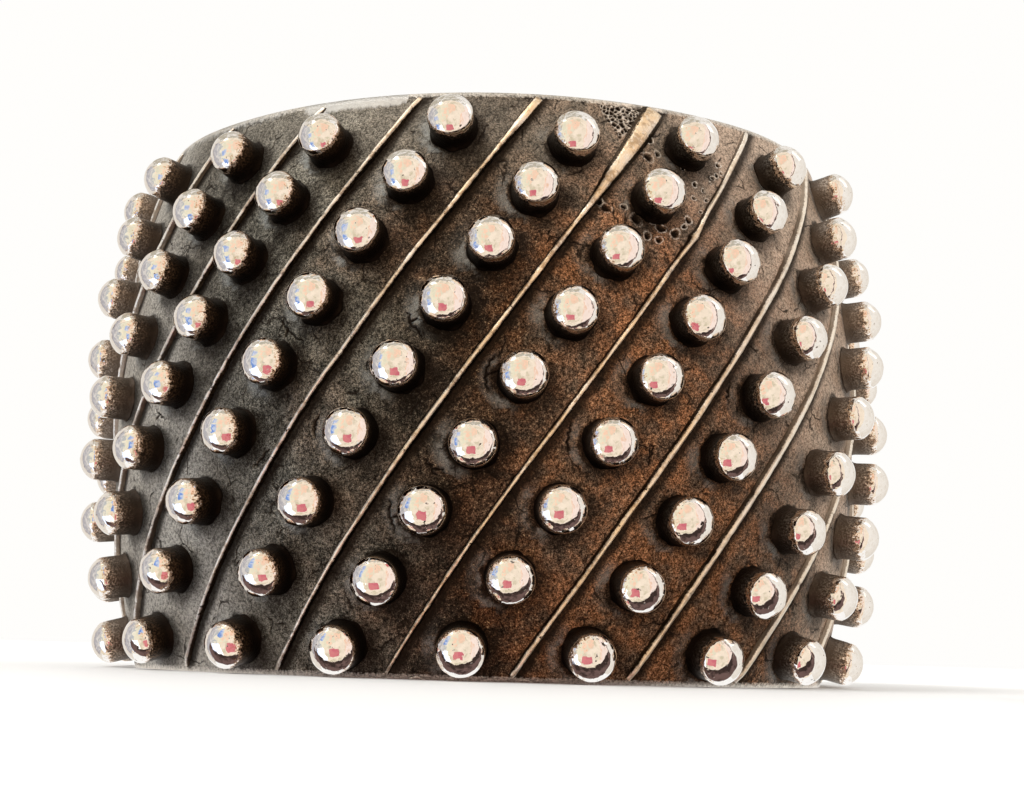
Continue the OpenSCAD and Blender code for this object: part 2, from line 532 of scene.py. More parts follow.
def maths(operation):
    """A function that adds one kind of Math node and gives its result."""

    def result(a, b=0.0, clamp=False):
        return put("ShaderNodeMath", {0: a, 1: b}, operation=operation, use_clamp=clamp).outputs[0]

    return result


times, plus, minus = maths("MULTIPLY"), maths("ADD"), maths("SUBTRACT")
over, larger, size_of = maths("DIVIDE"), maths("MAXIMUM"), maths("ABSOLUTE")


def blend(factor, a, b, kind="MIX"):
    """A colour mixed from two others."""
    a, b = ((*c, 1.0) if isinstance(c, tuple) else c for c in (a, b))
    links = {0: factor, 6: a, 7: b}
    return put("ShaderNodeMix", links, data_type="RGBA", blend_type=kind).outputs[2]


def ease(value, start, end, to_start=0.0, to_end=1.0):
    """A value eased from one range to another."""
    links = {0: value, 1: start, 2: end, 3: to_start, 4: to_end}
    return put("ShaderNodeMapRange", links, interpolation_type="SMOOTHSTEP").outputs[0]


def millimetres():
    """The piece's own coordinates, in millimetres."""
    place = put("ShaderNodeTexCoord").outputs["Object"]
    return put("ShaderNodeVectorMath", {0: place, "Scale": 1 / MM}, operation="SCALE").outputs[0]


def mottle(place, size, detail=4.0, rough=0.6, stretch=None):
    """Noise of 0 to 1 with blotches of a size in millimetres."""
    if stretch:
        place = put("ShaderNodeVectorMath", {0: place, 1: stretch}, operation="MULTIPLY").outputs[0]
    links = {"Vector": place, "Scale": 1 / size, "Detail": detail, "Roughness": rough}
    return put("ShaderNodeTexNoise", links).outputs["Fac"]


def stored(name, socket="Fac"):
    """A value that was stored on the mesh's points."""
    return put("ShaderNodeAttribute", attribute_name=name).outputs[socket]


def parts(vector):
    """The three parts of a vector."""
    return put("ShaderNodeSeparateXYZ", {0: vector}).outputs


def bump(height, depth, strength=1.0, under=None):
    """A bump of a depth in millimetres, laid over another one."""
    links = {"Height": height, "Distance": depth * MM, "Strength": strength}
    if under is not None:
        links["Normal"] = under
    return put("ShaderNodeBump", links).outputs[0]


# %% The dark ground
COOL_BLACK = (0.122, 0.117, 0.100)
WARM_BROWN = (0.130, 0.065, 0.034)
RUBBED_GREY = (0.34, 0.31, 0.27)
GOLD_FLECK = (0.82, 0.61, 0.36)


def dark_ground(along, height, blotch, grain, fine):
    """Grey-black at the left of the front and brown at its right, grained and flecked, and lighter on its
    sides and higher up as painted sheen.
    """
    drift = times(minus(mottle(millimetres(), 8, 3), 0.5), 40)
    warmth = ease(plus(along, drift), -14, 13)
    warmth = times(warmth, ease(height, 8, 21, 1, 0.5))
    warmth = times(warmth, ease(blotch, 0.3, 0.6, 0.55, 1))
    colour = blend(warmth, COOL_BLACK, WARM_BROWN)
    # Painted sheen: darkest near the middle of the front, lighter towards both sides, most on the right,
    # and lighter higher up except at the left.
    painted_sheen_right = ease(along, 2, 12, 0.48, 1.7)
    painted_sheen = larger(painted_sheen_right, ease(along, 0, -8, 0.48, 1.1))
    painted_sheen_high = times(ease(height, 2, 16, 0, 0.35), ease(along, -14, -4))
    painted_sheen = times(painted_sheen, plus(painted_sheen_high, 1))
    shade = times(ease(blotch, 0.3, 0.7, 0.58, 1.34), painted_sheen)
    shade = times(shade, ease(grain, 0.34, 0.66, 0.24, 1.7))
    shade = times(shade, ease(fine, 0.36, 0.64, 0.25, 1.9))
    shade = put("ShaderNodeCombineColor", {0: shade, 1: shade, 2: shade}).outputs[0]
    colour = blend(1, colour, shade, "MULTIPLY")
    fleck = times(ease(grain, 0.57, 0.67), ease(fine, 0.51, 0.59))
    return blend(times(fleck, 0.88), colour, blend(warmth, RUBBED_GREY, GOLD_FLECK))


# %% Where hands rubbed it, and painted sheen on the flanks
LEFT_SHEEN_GREY = (0.74, 0.72, 0.67)
RIGHT_SHEEN_GREY = (0.78, 0.64, 0.53)


def wear_and_painted_sheen(colour, along, height, grain, fine):
    """The ground, with grey metal rubbed up near the upper edge, and both flanks painted pale as painted
    sheen.
    """
    top = ease(height, 12, 21.5, 0, 0.5)
    # Painted sheen: both flanks are painted paler grey. Only the upper edge is rubbed metal.
    left_flank_sheen = ease(plus(along, times(height, 0.25)), -13, -25)
    right_flank_sheen = ease(plus(along, times(height, 0.35)), 16, 31, 0, 0.95)
    flank = larger(left_flank_sheen, right_flank_sheen)
    rubbed_and_sheen = times(larger(top, flank), ease(grain, 0.35, 0.65, 0.35, 1.15))
    rubbed_and_sheen = times(rubbed_and_sheen, ease(fine, 0.36, 0.64, 0.6, 1.1), clamp=True)
    flank_sheen_grey = blend(ease(along, -5, 5), LEFT_SHEEN_GREY, RIGHT_SHEEN_GREY)
    return blend(rubbed_and_sheen, colour, blend(ease(flank, 0.3, 0.9), RUBBED_GREY, flank_sheen_grey))


# %% [markdown]
# Soldering and blackening leave marks, and light and shade are painted beside them. Each stud has a dark
# halo, part blackening and part painted shadow, which reaches furthest at its lower right, and a patchy
# blue-grey painted reflection at its left. A dark painted shadow runs along the right of each wire. The
# sheet's points know their nearest stud and wire, so the marks follow them, and noise breaks them up.
# Fine seams wander over the rest of the ground.

# %% The painted shadows and reflections beside studs and wires
REFLECTION_BLUE_GREY = (0.33, 0.35, 0.35)
# The black of blackening, also used as the colour of painted shadow.
SOOT_AND_SHADOW = (0.016, 0.011, 0.008)


def painted_shade_and_reflection(colour, blotch, fine):
    """The ground, with a dark halo of blackening and painted shadow and a painted blue-grey reflection at
    each stud, and a painted shadow beside each wire.
    """
    stud_right, stud_up, stud_gap = parts(stored("by_stud", "Vector"))
    ragged = times(minus(blotch, 0.5), 1.6)
    gap = plus(stud_gap, ragged)
    # Painted shadow: a dark halo round each stud, part blackening, that reaches furthest at its lower
    # right.
    to_lower_right = minus(times(stud_right, 0.6), times(stud_up, 0.8))
    reach = ease(to_lower_right, -0.6, 0.9, 0.2, 1.4)
    painted_shadow_halo = ease(over(gap, reach), 0.1, 1.3, 0.88, 0)
    painted_shadow_halo = times(painted_shadow_halo, ease(fine, 0.36, 0.64, 1, 0.8))
    # Painted reflection: a patchy blue-grey patch at the left of each stud.
    to_left = plus(times(stud_right, -0.9), times(stud_up, -0.25))
    near = times(ease(gap, 1.5, 0.5), ease(gap, 0.1, 0.4))
    patchy = times(ease(blotch, 0.42, 0.6, 0.1, 0.8), ease(fine, 0.36, 0.6, 0.5, 1))
    smear_and_painted_reflection = times(times(ease(to_left, 0.25, 0.9), near), patchy)
    colour = blend(smear_and_painted_reflection, blend(painted_shadow_halo, colour, SOOT_AND_SHADOW), REFLECTION_BLUE_GREY)
    # Painted shadow: a dark band along the right of each wire.
    wire_gap = plus(stored("by_wire"), times(ragged, 0.25))
    painted_wire_shadow = times(ease(wire_gap, 0, 0.25), ease(wire_gap, 1.15, 0.5))
    return blend(times(painted_wire_shadow, 0.9), colour, SOOT_AND_SHADOW)


def seams(place):
    """Broken, crooked lines, 1 in a seam and 0 elsewhere."""
    crooked = put("ShaderNodeTexNoise", {"Vector": place, "Scale": 1.1, "Detail": 3.0})
    links = {0: crooked.outputs["Color"], 1: place}
    crooked = put("ShaderNodeVectorMath", links, operation="ADD").outputs[0]
    links = {"Vector": crooked, "Scale": 0.34}
    edge = put("ShaderNodeTexVoronoi", links, feature="DISTANCE_TO_EDGE").outputs["Distance"]
    broken = ease(mottle(place, 2.4, 2), 0.52, 0.6)
    return times(ease(edge, 0.028, 0.012), broken)


# %% [markdown]
# The last step joins it all. Bright metal shows on the rim and on the lips of the pits, and a cloth
# rubbed a strip of the upper edge pale. Pits and cracks hold soot. The noises that colour the ground
# also raise and lower it a little, so grain and tone agree.

# %% The blackened outer face
PALE_GREY = (0.62, 0.62, 0.61)
BRIGHT_SILVER = (0.93, 0.89, 0.83)


def oxidised_silver():
    """Blackened silver sheet with its marks, its worn rim and its grain."""
    material = new_material("oxidised_silver")
    place = millimetres()
    along, height, _ = parts(stored("place", "Vector"))
    blotch = mottle(place, 1.7, 5, 0.6)
    grain = mottle(place, 0.24, 3, 0.8)
    fine = mottle(place, 0.10, 2, 0.8)
    brushed = mottle(stored("place", "Vector"), 0.45, 4, 0.7, (1, 0.35, 1))
    colour = dark_ground(along, height, blotch, grain, fine)
    colour = wear_and_painted_sheen(colour, along, height, grain, fine)
    colour = painted_shade_and_reflection(colour, blotch, fine)
    seam = seams(place)
    colour = blend(times(seam, 0.8), colour, SOOT_AND_SHADOW)
    worn = plus(stored("worn"), ease(grain, 0.25, 0.75, -0.4, 0.4), clamp=True)
    worn = times(worn, ease(stored("worn"), 0.02, 0.2))
    colour = blend(worn, colour, BRIGHT_SILVER)
    cloth = plus(stored("cloth"), minus(brushed, 0.5))
    colour = blend(ease(cloth, 0.35, 0.7, 0, 0.8), colour, PALE_GREY)
    feed("Base Color", blend(stored("pit"), colour, SOOT_AND_SHADOW))
    rough = ease(blotch, 0.2, 0.8, 0.6, 0.44)
    feed("Roughness", minus(rough, times(worn, 0.18)))
    dents = bump(blotch, 0.08, 0.7)
    dents = bump(grain, 0.08, 0.9, dents)
    dents = bump(fine, 0.03, 0.9, dents)
    feed("Normal", bump(minus(1, seam), 0.05, 0.9, dents))
    return material


# %% [markdown]
# The rim and the inside touch the skin, so they are left bright. Hand polishing keeps the silver a
# little uneven and leaves fine scratches that run round the band.

# %% The polished rim and inside
def polished_inside():
    """Plain silver, polished by hand, with fine scratches round the band."""
    material = new_material("polished_inside")
    place = millimetres()
    smear_and_painted_reflection = mottle(place, 6, 3)
    scratches = mottle(stored("place", "Vector"), 0.3, 5, 0.7, (0.05, 2.2, 1))
    tint = blend(ease(smear_and_painted_reflection, 0.3, 0.7), (0.88, 0.84, 0.78), (0.95, 0.92, 0.87))
    feed("Base Color", tint)
    rough = ease(smear_and_painted_reflection, 0.2, 0.8, 0.10, 0.20)
    feed("Roughness", plus(rough, ease(scratches, 0.3, 0.8, 0, 0.12)))
    ripple = bump(mottle(place, 3.5, 2), 0.05, 0.6)
    feed("Normal", bump(scratches, 0.008, 0.5, ripple))
    return material


# %% What the sheet's points tell its material
row_seed = 3.7
wander_reach = 0.1
wander_length = 6.0
WANDER_LEVELS = np.arange(-23.0, 23.1, 0.5)


def wire_noise(levels, size, seed, octaves=2, layer=5.0):
    """Soft noise of about -1 to 1 along a wire."""
    return np.array([noise.fractal((v / size, seed, layer), 1.0, 2.0, octaves) for v in levels])


def wire_wander(row, z):
    """How far a wire strays from its straight line at a height."""
    strays = wire_noise(WANDER_LEVELS, wander_length, row_seed * row[ROW], 3, 0.0)
    return np.interp(z, WANDER_LEVELS, wander_reach * strays)


by_stud = np.zeros((len(s), 3))
nearest = np.full(len(s), 99.0)
for stud_s, stud_z in STUDS:
    right, up = s - stud_s, z - stud_z
    d = np.maximum(np.hypot(right, up), 1e-6)
    closer = d < nearest
    nearest = np.where(closer, d, nearest)
    by_stud[closer] = np.stack([right / d, up / d, d - stud_r], axis=1)[closer]

by_wire = np.full(len(s), 99.0)
for row in SETTING:
    gap = (s - wire_s(row, z) - wire_wander(row, z)) / hypot(1, slant)
    by_wire = np.where(np.abs(gap) < np.abs(by_wire), gap, by_wire)

# %% Make the sheet
from_edge = mid_h - np.abs(z)
past_end = np.abs(s) - straight
up = np.maximum(0, np.abs(z) - (mid_h - corner_r))
from_edge = np.where(past_end > 0, corner_r - np.hypot(past_end, up), from_edge)
ragged = 0.5 + 0.5 * fractal(points, 1.1, 3, 4.0)
worn = 1 - smooth(0.08, 0.42, from_edge + 0.25 * (ragged - 0.5))
worn = np.clip(worn + 0.6 * wall + 0.8 * lip, 0, 1)
dark = np.clip(pit + crack + net, 0, 1)
# A cloth rubbed the upper edge pale at the left, most between these lengths.
cloth_from, cloth_to = -12.0, -4.5
cloth_fade = 1.5
deep = smooth(cloth_from - cloth_fade, cloth_from, s) * (1 - smooth(cloth_to, cloth_to + cloth_fade, s))
faint = 0.55 * (1 - smooth(cloth_from - 4, cloth_from, s)) * smooth(-34, -28, s)
cloth = np.maximum(deep, faint) * (1 - smooth(0.3, 1.7, mid_h - z))

for v, p in zip(bm.verts, points):
    v.co = p
bmesh.ops.recalc_face_normals(bm, faces=bm.faces)
faces = [[v.index for v in f.verts] for f in bm.faces]
told = {"place": np.stack([s, z, layer], axis=1), "by_stud": by_stud, "by_wire": by_wire}
told.update({"worn": worn, "cloth": cloth, "pit": dark})
sheet = make_piece("sheet", points, faces, told, [oxidised_silver(), polished_inside()])
polished = np.array([not all(outside[i] for i in face) for face in faces])
sheet.data.polygons.foreach_set("material_index", polished.astype(np.int32))
bm.free()
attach(sheet, "root")
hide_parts("cuff")
print("sheet faces:", len(faces), "of them polished:", int(polished.sum()))

# %% [markdown]
# A stud is a short post with a domed cap, made in one, and soldered on by its foot. The cap is a little
# flatter than half a ball, with a tight shoulder, so it mirrors the room nearly out to its outline. One
# profile is turned round the stud's own axis. Each stud differs slightly in width, lean and lumps,
# because that is what makes mirror-bright caps look real. The polish ends on a ragged line, painted
# lower on the lit side, which faces away from the middle of the front, and higher on the other side as
# painted shade. On the flanks it is lower on that other side too.

# %% The shape of a stud
sides = 48
cap_r = 1.12 * stud_r
cap_slope = radians(58)
shoulder_r = (stud_r - cap_r * sin(cap_slope)) / (1 - sin(cap_slope))
wall_top = stud_h - cap_r * (1 - cos(cap_slope)) - shoulder_r * cos(cap_slope)
print("shoulder radius, mm:", round(shoulder_r, 2), "height of the wall:", round(wall_top, 2))
# The solder foot. Columns: share of the foot's width, lift off the sheet.
FOOT = [[1.0, -0.08], [0.6, 0.05], [0.2, 0.2]]
# The rest of the outline. Columns: share of the radius, lift.
PROFILE = [(1.0, lift) for lift in (0.4, 0.8, 1.2, 1.6, wall_top)]
for slope in np.radians([83, 76, 69, 63]):
    share = 1 - shoulder_r / stud_r * (1 - sin(slope))
    PROFILE.append((share, wall_top + shoulder_r * cos(slope)))
for slope in np.radians([58, 52, 45, 38, 31, 24, 17, 10, 4]):
    PROFILE.append((cap_r / stud_r * sin(slope), stud_h - cap_r * (1 - cos(slope))))
angles = np.linspace(0, 2 * pi, sides, endpoint=False)
# The lift at which the polish ends, and how much lower or higher it is painted on a stud's lit and shaded
# sides.
polish_end = 1.9
painted_lit_drop, painted_shade_rise = 0.6, 0.2
# The studs at this length get no painted shade side. On the others the lowest place is turned down a
# little.
shade_middle = -4.0
painted_lit_turn = 0.35
flank_shade_cut = 0.55


def border_lifts(s):
    """The lift at which the polish ends all round a stud, raised on its shaded side as painted shade, and
    how ragged it is there.
    """
    away = -painted_lit_turn if s > shade_middle else pi + painted_lit_turn
    beside = abs(s - shade_middle)
    strength = smooth(0, 10, beside)
    facing = np.cos(angles - away)
    # Painted shade: the border is lower on the lit side and higher on the shaded side.
    lower = painted_lit_drop * np.sqrt(np.maximum(0, facing))
    higher = painted_shade_rise - flank_shade_cut * smooth(12, 34, beside)
    higher *= np.sqrt(np.maximum(0, -facing))
    ragged = 0.55 + 0.45 * strength * smooth(0.4, -0.4, facing)
    return polish_end + strength * (higher - lower), ragged


# %% Turn a stud
def turned_stud(s, z):
    """The rings of a stud, their heights past the border, places for streaks, and the tip."""
    foot = on_band(s, z)
    away = on_band(s, z, 1.0) - foot
    along = on_band(s + 0.01, z) - foot
    along /= np.linalg.norm(along)
    up = np.cross(away, along)
    lean = rng.gauss(0, 0.015) * along + rng.gauss(0, 0.015) * up
    radius = stud_r * rng.uniform(0.985, 1.0)
    drop = rng.uniform(0.0, 0.08)
    seed = rng.uniform(0, 100)
    per_s = np.linalg.norm(on_ring(s + 0.5, z, bulge(z)) - on_ring(s - 0.5, z, bulge(z)))
    foot_noise = np.array([noise.noise((2.1 * cos(a), 2.1 * sin(a), seed)) for a in angles])
    foot_width = 0.12 + 0.3 * np.clip(foot_noise + 0.1, 0, 1)
    rings = []
    lifts = []
    for share, lift in FOOT:
        wide = radius + share * foot_width
        ring_s = s + wide * np.cos(angles) / per_s
        ring_z = z + wide * np.sin(angles) * sqrt(1 - (z / dome_r) ** 2)
        ring_z = np.clip(ring_z, edge_room - mid_h, mid_h - edge_room)
        rings.append(on_band(ring_s, ring_z, lift))
        lifts.append(lift)
    around = np.cos(angles)[:, None] * along + np.sin(angles)[:, None] * up
    for share, lift in PROFILE:
        lift -= drop * lift / stud_h
        rings.append(foot + around * radius * share + (away + lean) * lift)
        lifts.append(lift)
    tip = foot + (away + lean) * (stud_h - drop)
    border, ragged = border_lifts(s)
    lifts = np.array(lifts)[:, None]
    heights = (lifts - border) / ragged
    turns = np.stack(np.broadcast_arrays(np.cos(angles), np.sin(angles), 0.4 * lifts + seed), axis=-1)
    return np.array(rings), heights, stud_r * turns, tip


# %% [markdown]
# The caps are almost mirrors, so their base colour is nearly white and their roughness very low. The
# wall kept its black, because no cloth reached it. It fades from brown specks at the border to soot at
# the foot, and is painted paler on the flanks as painted sheen. The stored height above the border,
# roughened with noise, decides which of the two shows. Near the border the cap is tarnished and a little
# dented.

# %% The finish of the studs
CAP_TONES = (0.93, 0.90, 0.87), (0.98, 0.96, 0.94)
TARNISH = (0.74, 0.48, 0.29)
BROWN_SPECKS = (0.22, 0.135, 0.08)
GREY_SPECKS = (0.20, 0.19, 0.175)
FLANK_SHEEN_SPECKS = (0.62, 0.53, 0.45)
FLANK_SHEEN_WALL = (0.15, 0.115, 0.09)


def stud_silver():
    """Polished cap over a blackened wall, with a ragged border between them."""
    material = new_material("stud_silver")
    place = millimetres()
    height = stored("height")
    coarse = mottle(place, 0.5, 3, 0.6)
    fine = mottle(place, 0.15, 3, 0.7)
    specks = mottle(place, 0.3, 1, 0.5)
    along, _, _ = parts(place)
    streaks = mottle(stored("wall_place", "Vector"), 0.16, 3, 0.7)
    ragged = plus(ease(coarse, 0.3, 0.7, -0.2, 0.2), ease(fine, 0.3, 0.7, -0.22, 0.22))
    ragged = plus(ragged, ease(streaks, 0.3, 0.7, -0.14, 0.14))
    bright = ease(plus(height, ragged), -0.16, 0.2)
    speck = times(ease(specks, 0.70, 0.735), ease(coarse, 0.5, 0.6))
    bright = minus(bright, speck, clamp=True)

    specked = times(ease(fine, 0.4, 0.66), ease(height, -1.5, -0.1))
    specked = times(specked, ease(streaks, 0.36, 0.62, 0.4, 1))
    specks = blend(ease(along, -10, 4), BROWN_SPECKS, GREY_SPECKS)
    # Painted sheen: the wall is painted paler on both flanks.
    flank = ease(size_of(along), 22, 34)
    specks = blend(flank, specks, FLANK_SHEEN_SPECKS)
    wall = blend(specked, blend(flank, SOOT_AND_SHADOW, FLANK_SHEEN_WALL), specks)
    cap = blend(ease(coarse, 0.3, 0.7), *CAP_TONES)
    tarnished = ease(plus(height, times(ragged, 1.2)), 0.42, 0, 0, 0.9)
    cap = blend(tarnished, cap, TARNISH)
    feed("Base Color", blend(bright, wall, cap))

    haze = ease(mottle(place, 0.9, 4, 0.6), 0.45, 0.8, 0.03, 0.08)
    feed("Roughness", plus(haze, ease(bright, 0, 1, 0.45, 0)))
    lumps = bump(mottle(place, 1, 2), 0.10, 0.5)
    rim = ease(height, 0.75, 0.1)
    lumps = bump(times(coarse, rim), 0.06, 0.5, lumps)
    depth = times(fine, ease(bright, 0, 1, 1, 0.03))
    feed("Normal", bump(depth, 0.06, 0.9, lumps))
    return material


# %% Make the studs, one piece for each row
stud_finish = stud_silver()
lump_size = 1.3
lump_depth = 0.018
row_points = 0
for row, places in ROWS:
    points, faces, heights, wall_places = [], [], [], []
    for s, z in places:
        rings, ring_heights, turns, tip = turned_stud(s, z)
        first = len(points)
        count = len(rings)
        lumpy = rings.reshape(-1, 3)
        push = lump_depth * fractal(lumpy, lump_size, 2, 2.5)
        centre = on_band(s, z, wall_top)
        outwards = lumpy - centre
        outwards /= np.linalg.norm(outwards, axis=1)[:, None]
        lumpy = lumpy + outwards * (push - lump_depth)[:, None]
        points.extend(lumpy)
        points.append(tip)
        heights.extend(ring_heights.ravel())
        heights.append(stud_h - polish_end)
        wall_places.extend(turns.reshape(-1, 3))
        wall_places.append((0.0, 0.0, 0.0))
        faces.extend(tube_faces(count, sides, first))
        top = first + (count - 1) * sides
        faces.extend((top + k, top + (k + 1) % sides, first + count * sides) for k in range(sides))
        faces.append(tuple(first + k for k in reversed(range(sides))))
    name = f"studs_row_{row[ROW] + 9:02d}"
    told = {"height": heights, "wall_place": wall_places}
    piece = make_piece(name, points, faces, told, [stud_finish])
    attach(piece, "root")
    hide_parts("cuff")
    row_points += len(points)
print("rows of studs:", len(ROWS), "points:", row_points)

# %% [markdown]
# The wires are thin, bent to the slant and soldered down, with the lower right side steeper than the
# other. Each one is a closed section swept along its line. Its width and height wander, with a few
# shallow nicks. Three wires are hammered wide and flat towards the upper edge, and one of those has a
# blob of solder in its kink.

# %% The shape of a wire
# The section, from the left foot over the top to the right foot. Columns: across, lift, brightness.
SECTION = [
    [-0.33, -0.10, 0.0], [-0.24, 0.10, 0.0], [-0.18, 0.27, 0.3],
    [-0.13, 0.37, 0.9], [-0.07, 0.43, 1.0], [0.0, 0.45, 1.0],
    [0.07, 0.43, 1.0], [0.12, 0.37, 0.8], [0.16, 0.26, 0.15],
    [0.20, 0.10, 0.0], [0.27, -0.10, 0.0], [0.0, -0.5, 0.0],
]
ACROSS, LIFT, BRIGHT = np.array(SECTION).T
ring_step = 0.16
side_step = np.array([1, -slant]) / hypot(1, slant)
# Wires hammered wide at their upper end. Columns: row, how much wider, from this height up.
FLATTENED = {0: (0.6, 17.5), 1: (2.1, 11.0), 2: (0.05, 12.0)}
solder_row = 2
solder_z = 11.3


def swept_wire(row):
    """The rings of one wire and how bright each point is, or nothing where the row misses the band."""
    levels = np.arange(-(mid_h - wire_rim), mid_h - wire_rim, ring_step)
    levels = np.array([z for z in levels if inside(wire_s(row, z), z, wire_rim)])
    if len(levels) * ring_step < wire_least:
        return None
    seed = row_seed * row[ROW]
    more, start = FLATTENED.get(row[ROW], (0.1, 17.0))
    flatter = smooth(start, mid_h - 2, levels)
    width = 1.05 + 0.14 * wire_noise(levels, 3.0, seed)
    width += 0.22 * wire_noise(levels, 0.5, seed + 1) * (1 - flatter)
    along = wire_s(row, levels)
    width += 0.15 * smooth(8, 22, along) - 0.15 * smooth(0, -15, along)
    width = width * (1 + more * flatter)
    nick = smooth(0.45, 0.6, wire_noise(levels, 0.5, seed + 2)) * (1 - flatter)
    height = 1 - 0.1 * np.abs(wire_noise(levels, 0.7, seed + 3)) - 0.12 * nick - 0.25 * flatter
    kink = np.zeros(len(levels))
    if row[ROW] == solder_row:
        width = 0.85 * width + 0.7 * np.exp(-(((levels - solder_z) / 0.35) ** 2))
        kink = 0.25 * smooth(3, 0, np.abs(levels - solder_z))
    ends = smooth(0, 0.8, np.minimum(levels - levels[0], levels[-1] - levels))
    height = np.minimum(height * (0.35 + 0.65 * ends), 1.0)
    middle = along + wire_wander(row, levels) + kink
    s = middle[:, None] + ACROSS * width[:, None] * side_step[0]
    z = levels[:, None] + ACROSS * width[:, None] * side_step[1]
    z = np.clip(z, edge_room - mid_h, mid_h - edge_room)
    lift = np.where(LIFT > 0, LIFT * height[:, None], LIFT)
    bright = BRIGHT * (1 - 0.4 * nick + 0.7 * flatter)[:, None]
    place = np.stack([s, z, ACROSS * width[:, None]], axis=-1)
    return on_band(s, z, lift), bright, place


# %% [markdown]
# The tops of the wires are rubbed silver white at the left of the front and warm cream towards its
# right, with brown and black specks where the cloth missed them. They are cleaner and paler on the right
# flank. Their sides are black, and painted paler on both flanks as painted sheen.

# %% The finish of the wires
WIRE_WHITE = (0.98, 0.97, 0.94)
WIRE_CREAM = (0.95, 0.75, 0.51)
WIRE_LIGHT = (0.97, 0.89, 0.78)
WIRE_BROWN = (0.30, 0.18, 0.09)
WIRE_STREAK = (0.50, 0.36, 0.24)
SIDE_TONES = (0.02, 0.014, 0.01), (0.10, 0.07, 0.045)
SHEEN_SIDE = (0.45, 0.37, 0.30)


def wire_silver():
    """Silver wire, rubbed to a warm cream on top, specked with black, and black down its sides."""
    material = new_material("wire_silver")
    place = millimetres()
    along, _, _ = parts(stored("place", "Vector"))
    grain = mottle(place, 0.16, 3, 0.7)
    specks = mottle(place, 0.34, 3, 0.7)
    slow = mottle(place, 2.2, 3)
    streaks = mottle(stored("place", "Vector"), 0.09, 2, 0.5, (0, 0.03, 1))
    handled = ease(along, 10, 24, 1, 0.4)
    bright = plus(stored("bright"), ease(grain, 0.25, 0.75, -0.25, 0.25))
    bright = ease(minus(bright, times(ease(specks, 0.6, 0.72), handled)), 0.3, 0.75)
    warmth = times(ease(along, -14, 4), ease(slow, 0.3, 0.6, 0.35, 1))
    warmth = times(warmth, ease(along, 14, 26, 1, 0.35))
    top = blend(warmth, WIRE_WHITE, WIRE_CREAM)
    uneven = ease(mottle(place, 0.9, 3, 0.6), 0.38, 0.5, 0.6, 0)
    top = blend(times(uneven, handled), top, WIRE_BROWN)
    top = blend(ease(specks, 0.5, 0.35, 0, 0.7), top, WIRE_LIGHT)
    top = blend(ease(streaks, 0.52, 0.74, 0, 0.45), top, WIRE_STREAK)
    side = blend(ease(grain, 0.3, 0.8), *SIDE_TONES)
    # Painted sheen: the wires' sides are painted paler on both flanks.
    side = blend(ease(size_of(along), 18, 32, 0, 0.8), side, SHEEN_SIDE)
    feed("Base Color", blend(bright, side, top))
    feed("Roughness", ease(grain, 0.2, 0.8, 0.3, 0.5))
    dents = bump(specks, 0.06, 0.9, bump(grain, 0.03, 0.8))
    feed("Normal", bump(streaks, 0.05, 0.8, dents))
    return material


# %% Make the wires
wire_finish = wire_silver()
wires = 0
for row in SETTING:
    swept = swept_wire(row)
    if swept is None:
        continue
    rings, bright, place = swept
    count, section = rings.shape[:2]
    faces = tube_faces(count, section)
    faces.append(tuple(reversed(range(section))))
    faces.append(tuple((count - 1) * section + k for k in range(section)))
    name = f"wire_{row[ROW] + 9:02d}"
    told = {"bright": bright.ravel(), "place": place.reshape(-1, 3)}
    piece = make_piece(name, rings.reshape(-1, 3), faces, told, [wire_finish])
    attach(piece, "root")
    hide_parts("cuff")
    wires += 1
print("wires:", wires)

# %% [markdown]
# The cuff lies on its lower edge on a plain pale floor. Polished metal shows what is round it, so the
# studio is built for its reflections, as a silver photographer would. Walls and panels stand in front
# and at both sides, and a dark strip bends round the cuff from below. Small tinted cards lie close by and
# give each cap its spots of colour. Because they are so close, the spots move from cap to cap. The cards
# show only in the metal, and the floor doesn't show in it.

# %% The floor
FLOOR_TONE = (0.97, 0.965, 0.955)
floor_size = 4000.0


def pale_floor():
    """A pale matt material with faint unevenness."""
    material = new_material("pale_floor")
    feed("Metallic", 0.0)
    feed("Roughness", 0.6)
    darker = tuple(0.97 * c for c in FLOOR_TONE)
    feed("Base Color", blend(mottle(millimetres(), 60, 2), FLOOR_TONE, darker))
    return material


corners = [[x * floor_size, y * floor_size, 0.0] for x, y in ((-1, -1), (1, -1), (1, 1), (-1, 1))]
floor = make_piece("floor", corners, [(0, 1, 2, 3)], {}, [pale_floor()])
floor.visible_glossy = False

# %% Helpers for the cards
AIM = (0, 0, 22)
strip_steps = 24


def glow(name, colours, size, strength):
    """A glowing material that passes from one colour to another across a card, unevenly."""
    material = new_material(name)
    tree.nodes.clear()
    folds = minus(mottle(millimetres(), size, 3), 0.5)
    across = plus(stored("across"), times(folds, 3.2))
    shine = blend(ease(across, 0.25, 0.75), *colours)
    lit = ease(folds, -0.2, 0.2, 0.9 * strength, 1.04 * strength)
    shine = put("ShaderNodeEmission", {"Color": shine, "Strength": lit}).outputs[0]
    put("ShaderNodeOutputMaterial", {"Surface": shine})
    return material


def stage_card(name, points, faces, across, *look):
    """A glowing card that the camera can't see, with its light and shadow kept off the floor."""
    piece = make_piece(name, points, faces, {"across": across}, [glow(name + "_glow", *look)])
    piece.visible_camera = False
    piece.visible_shadow = False
    piece.visible_diffuse = False


